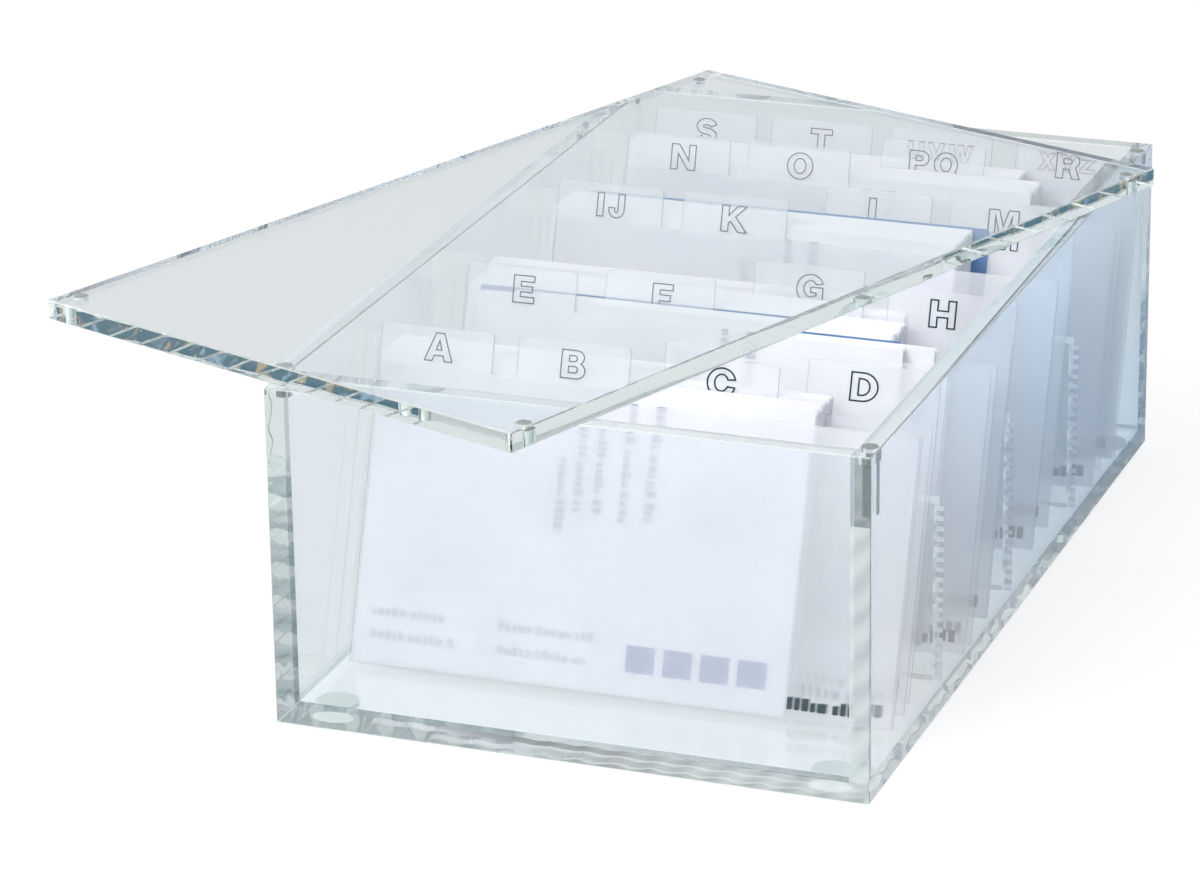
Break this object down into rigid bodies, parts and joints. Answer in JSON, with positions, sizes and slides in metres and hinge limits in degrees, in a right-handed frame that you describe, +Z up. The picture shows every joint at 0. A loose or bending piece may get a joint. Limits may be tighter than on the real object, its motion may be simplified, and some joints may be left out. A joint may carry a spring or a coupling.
{
  "type": "index card box",
  "caption": "Clear acrylic box for business cards with a loose magnetic lid, low cross partitions, lettered index dividers and packs of cards.",
  "frame": {"origin": "under the middle of the box, on the surface that the foot pads stand on", "axes": "+X along the width, to the right of someone who reads the dividers; +Y along the length, from the front wall to the rear wall; +Z up"},
  "size_m": [0.175, 0.222, 0.0702],
  "materials": {
    "clear_acrylic": "clear, polished faces and edges",
    "magnet": "nickel-plated disc magnet",
    "foot_pad": "clear soft elastomer",
    "frosted_film": "frosted translucent film",
    "white_card": "smooth uncoated card",
    "blue_card": "smooth card printed solid blue"
  },
  "bodies": {
    "box": {"bottom_plate": "clear_acrylic", "front_wall": "clear_acrylic", "rear_wall": "clear_acrylic", "left_wall": "clear_acrylic", "right_wall": "clear_acrylic", "front_partition": "clear_acrylic", "middle_partition": "clear_acrylic", "rear_partition": "clear_acrylic", "foot_pads": "foot_pad", "rim_magnets": "magnet"},
    "lid": {"lid_plate": "clear_acrylic", "lid_magnets": "magnet"},
    "divider_a": {"divider_a": "frosted_film"},
    "divider_b": {"divider_b": "frosted_film"},
    "cards_b": {"cards_b": "white_card"},
    "divider_c": {"divider_c": "frosted_film"},
    "cards_c": {"cards_c": "white_card"},
    "divider_d": {"divider_d": "frosted_film"},
    "divider_e": {"divider_e": "frosted_film"},
    "cards_e": {"cards_e": "white_card"},
    "cards_e_aside": {"cards_e_aside": "white_card"},
    "divider_f": {"divider_f": "frosted_film"},
    "blue_card_f": {"blue_card_f": "blue_card"},
    "cards_f": {"cards_f": "white_card"},
    "divider_g": {"divider_g": "frosted_film"},
    "divider_h": {"divider_h": "frosted_film"},
    "cards_h": {"cards_h": "white_card"},
    "divider_ij": {"divider_ij": "frosted_film"},
    "divider_k": {"divider_k": "frosted_film"},
    "cards_k": {"cards_k": "white_card"},
    "blue_card_k": {"blue_card_k": "blue_card"},
    "divider_l": {"divider_l": "frosted_film"},
    "divider_m": {"divider_m": "frosted_film"},
    "divider_n": {"divider_n": "frosted_film"},
    "divider_o": {"divider_o": "frosted_film"},
    "cards_o": {"cards_o": "white_card"},
    "divider_pq": {"divider_pq": "frosted_film"},
    "cards_pq": {"cards_pq": "white_card"},
    "divider_r": {"divider_r": "frosted_film"},
    "divider_s": {"divider_s": "frosted_film"},
    "divider_t": {"divider_t": "frosted_film"},
    "divider_uvw": {"divider_uvw": "frosted_film"},
    "divider_xyz": {"divider_xyz": "frosted_film"}
  },
  "joints": [
    {"name": "lid_turn", "type": "hinge", "parent": "box", "child": "lid", "pos_m": [-0.0203, 0.06362, 0.0664], "axis": [0, 0, 1], "range_deg": [-20, 20.1]},
    {"name": "divider_a_tilt", "type": "hinge", "parent": "box", "child": "divider_a", "pos_m": [0, -0.07281, 0.00495], "axis": [1, 0, 0], "range_deg": [0, 36.02]},
    {"name": "divider_b_tilt", "type": "hinge", "parent": "box", "child": "divider_b", "pos_m": [0, -0.07234, 0.00495], "axis": [1, 0, 0], "range_deg": [0, 30.98]},
    {"name": "cards_b_tilt", "type": "hinge", "parent": "box", "child": "cards_b", "pos_m": [0, -0.07186, 0.00495], "axis": [1, 0, 0], "range_deg": [0, 25.92]},
    {"name": "divider_c_tilt", "type": "hinge", "parent": "box", "child": "divider_c", "pos_m": [0, -0.06614, 0.00495], "axis": [1, 0, 0], "range_deg": [0, 20.9]},
    {"name": "cards_c_tilt", "type": "hinge", "parent": "box", "child": "cards_c", "pos_m": [0, -0.06566, 0.00495], "axis": [1, 0, 0], "range_deg": [0, 15.86]},
    {"name": "divider_d_tilt", "type": "hinge", "parent": "box", "child": "divider_d", "pos_m": [0, -0.06038, 0.00495], "axis": [1, 0, 0], "range_deg": [0, 10.82]},
    {"name": "divider_e_tilt", "type": "hinge", "parent": "box", "child": "divider_e", "pos_m": [0, -0.03485, 0.00495], "axis": [1, 0, 0], "range_deg": [0, 23.02]},
    {"name": "cards_e_tilt", "type": "hinge", "parent": "box", "child": "cards_e", "pos_m": [0, -0.03438, 0.00495], "axis": [1, 0, 0], "range_deg": [0, 20.87]},
    {"name": "cards_e_aside_tilt", "type": "hinge", "parent": "box", "child": "cards_e_aside", "pos_m": [0, -0.03249, 0.00495], "axis": [1, 0, 0], "range_deg": [0, 18.71]},
    {"name": "divider_f_tilt", "type": "hinge", "parent": "box", "child": "divider_f", "pos_m": [0, -0.0306, 0.00495], "axis": [1, 0, 0], "range_deg": [0, 16.55]},
    {"name": "blue_card_f_tilt", "type": "hinge", "parent": "box", "child": "blue_card_f", "pos_m": [0, -0.03013, 0.00495], "axis": [1, 0, 0], "range_deg": [0, 14.4]},
    {"name": "cards_f_tilt", "type": "hinge", "parent": "box", "child": "cards_f", "pos_m": [0, -0.02963, 0.00495], "axis": [1, 0, 0], "range_deg": [0, 12.22]},
    {"name": "divider_g_tilt", "type": "hinge", "parent": "box", "child": "divider_g", "pos_m": [0, -0.0171, 0.00495], "axis": [1, 0, 0], "range_deg": [0, 10.08]},
    {"name": "divider_h_tilt", "type": "hinge", "parent": "box", "child": "divider_h", "pos_m": [0, -0.01662, 0.00495], "axis": [1, 0, 0], "range_deg": [0, 7.93]},
    {"name": "cards_h_tilt", "type": "hinge", "parent": "box", "child": "cards_h", "pos_m": [0, -0.01615, 0.00495], "axis": [1, 0, 0], "range_deg": [0, 5.77]},
    {"name": "divider_ij_tilt", "type": "hinge", "parent": "box", "child": "divider_ij", "pos_m": [0, 0.01982, 0.00495], "axis": [1, 0, 0], "range_deg": [0, 33.02]},
    {"name": "divider_k_tilt", "type": "hinge", "parent": "box", "child": "divider_k", "pos_m": [0, 0.0203, 0.00495], "axis": [1, 0, 0], "range_deg": [0, 28.4]},
    {"name": "cards_k_tilt", "type": "hinge", "parent": "box", "child": "cards_k", "pos_m": [0, 0.02077, 0.00495], "axis": [1, 0, 0], "range_deg": [0, 23.76]},
    {"name": "blue_card_k_tilt", "type": "hinge", "parent": "box", "child": "blue_card_k", "pos_m": [0, 0.03168, 0.00495], "axis": [1, 0, 0], "range_deg": [0, 19.16]},
    {"name": "divider_l_tilt", "type": "hinge", "parent": "box", "child": "divider_l", "pos_m": [0, 0.03219, 0.00495], "axis": [1, 0, 0], "range_deg": [0, 14.54]},
    {"name": "divider_m_tilt", "type": "hinge", "parent": "box", "child": "divider_m", "pos_m": [0, 0.03266, 0.00495], "axis": [1, 0, 0], "range_deg": [0, 9.92]},
    {"name": "divider_n_tilt", "type": "hinge", "parent": "box", "child": "divider_n", "pos_m": [0, 0.05681, 0.00495], "axis": [1, 0, 0], "range_deg": [0, 21.02]},
    {"name": "divider_o_tilt", "type": "hinge", "parent": "box", "child": "divider_o", "pos_m": [0, 0.05728, 0.00495], "axis": [1, 0, 0], "range_deg": [0, 19.16]},
    {"name": "cards_o_tilt", "type": "hinge", "parent": "box", "child": "cards_o", "pos_m": [0, 0.05774, 0.00495], "axis": [1, 0, 0], "range_deg": [0, 17.27]},
    {"name": "divider_pq_tilt", "type": "hinge", "parent": "box", "child": "divider_pq", "pos_m": [0, 0.06683, 0.00495], "axis": [1, 0, 0], "range_deg": [0, 15.42]},
    {"name": "cards_pq_tilt", "type": "hinge", "parent": "box", "child": "cards_pq", "pos_m": [0, 0.06729, 0.00495], "axis": [1, 0, 0], "range_deg": [0, 13.56]},
    {"name": "divider_r_tilt", "type": "hinge", "parent": "box", "child": "divider_r", "pos_m": [0, 0.07363, 0.00495], "axis": [1, 0, 0], "range_deg": [0, 11.69]},
    {"name": "divider_s_tilt", "type": "hinge", "parent": "box", "child": "divider_s", "pos_m": [0, 0.0741, 0.00495], "axis": [1, 0, 0], "range_deg": [0, 9.82]},
    {"name": "divider_t_tilt", "type": "hinge", "parent": "box", "child": "divider_t", "pos_m": [0, 0.07457, 0.00495], "axis": [1, 0, 0], "range_deg": [0, 7.96]},
    {"name": "divider_uvw_tilt", "type": "hinge", "parent": "box", "child": "divider_uvw", "pos_m": [0, 0.07503, 0.00495], "axis": [1, 0, 0], "range_deg": [0, 6.09]},
    {"name": "divider_xyz_tilt", "type": "hinge", "parent": "box", "child": "divider_xyz", "pos_m": [0, 0.0755, 0.00495], "axis": [1, 0, 0], "range_deg": [0, 4.22]}
  ],
  "couplings": [
    {"joint": "divider_a_tilt", "follows": "cards_b_tilt", "ratio": 1.3889},
    {"joint": "divider_b_tilt", "follows": "cards_b_tilt", "ratio": 1.1944},
    {"joint": "divider_c_tilt", "follows": "cards_b_tilt", "ratio": 0.8056},
    {"joint": "cards_c_tilt", "follows": "cards_b_tilt", "ratio": 0.6111},
    {"joint": "divider_d_tilt", "follows": "cards_b_tilt", "ratio": 0.4167},
    {"joint": "divider_e_tilt", "follows": "cards_f_tilt", "ratio": 1.8824},
    {"joint": "cards_e_tilt", "follows": "cards_f_tilt", "ratio": 1.7059},
    {"joint": "cards_e_aside_tilt", "follows": "cards_f_tilt", "ratio": 1.5294},
    {"joint": "divider_f_tilt", "follows": "cards_f_tilt", "ratio": 1.3529},
    {"joint": "blue_card_f_tilt", "follows": "cards_f_tilt", "ratio": 1.1765},
    {"joint": "divider_g_tilt", "follows": "cards_f_tilt", "ratio": 0.8235},
    {"joint": "divider_h_tilt", "follows": "cards_f_tilt", "ratio": 0.6471},
    {"joint": "cards_h_tilt", "follows": "cards_f_tilt", "ratio": 0.4706},
    {"joint": "divider_ij_tilt", "follows": "cards_k_tilt", "ratio": 1.3889},
    {"joint": "divider_k_tilt", "follows": "cards_k_tilt", "ratio": 1.1944},
    {"joint": "blue_card_k_tilt", "follows": "cards_k_tilt", "ratio": 0.8056},
    {"joint": "divider_l_tilt", "follows": "cards_k_tilt", "ratio": 0.6111},
    {"joint": "divider_m_tilt", "follows": "cards_k_tilt", "ratio": 0.4167},
    {"joint": "divider_n_tilt", "follows": "cards_o_tilt", "ratio": 1.2162},
    {"joint": "divider_o_tilt", "follows": "cards_o_tilt", "ratio": 1.1081},
    {"joint": "divider_pq_tilt", "follows": "cards_o_tilt", "ratio": 0.8919},
    {"joint": "cards_pq_tilt", "follows": "cards_o_tilt", "ratio": 0.7838},
    {"joint": "divider_r_tilt", "follows": "cards_o_tilt", "ratio": 0.6757},
    {"joint": "divider_s_tilt", "follows": "cards_o_tilt", "ratio": 0.5676},
    {"joint": "divider_t_tilt", "follows": "cards_o_tilt", "ratio": 0.4595},
    {"joint": "divider_uvw_tilt", "follows": "cards_o_tilt", "ratio": 0.3514},
    {"joint": "divider_xyz_tilt", "follows": "cards_o_tilt", "ratio": 0.2432}
  ]
}
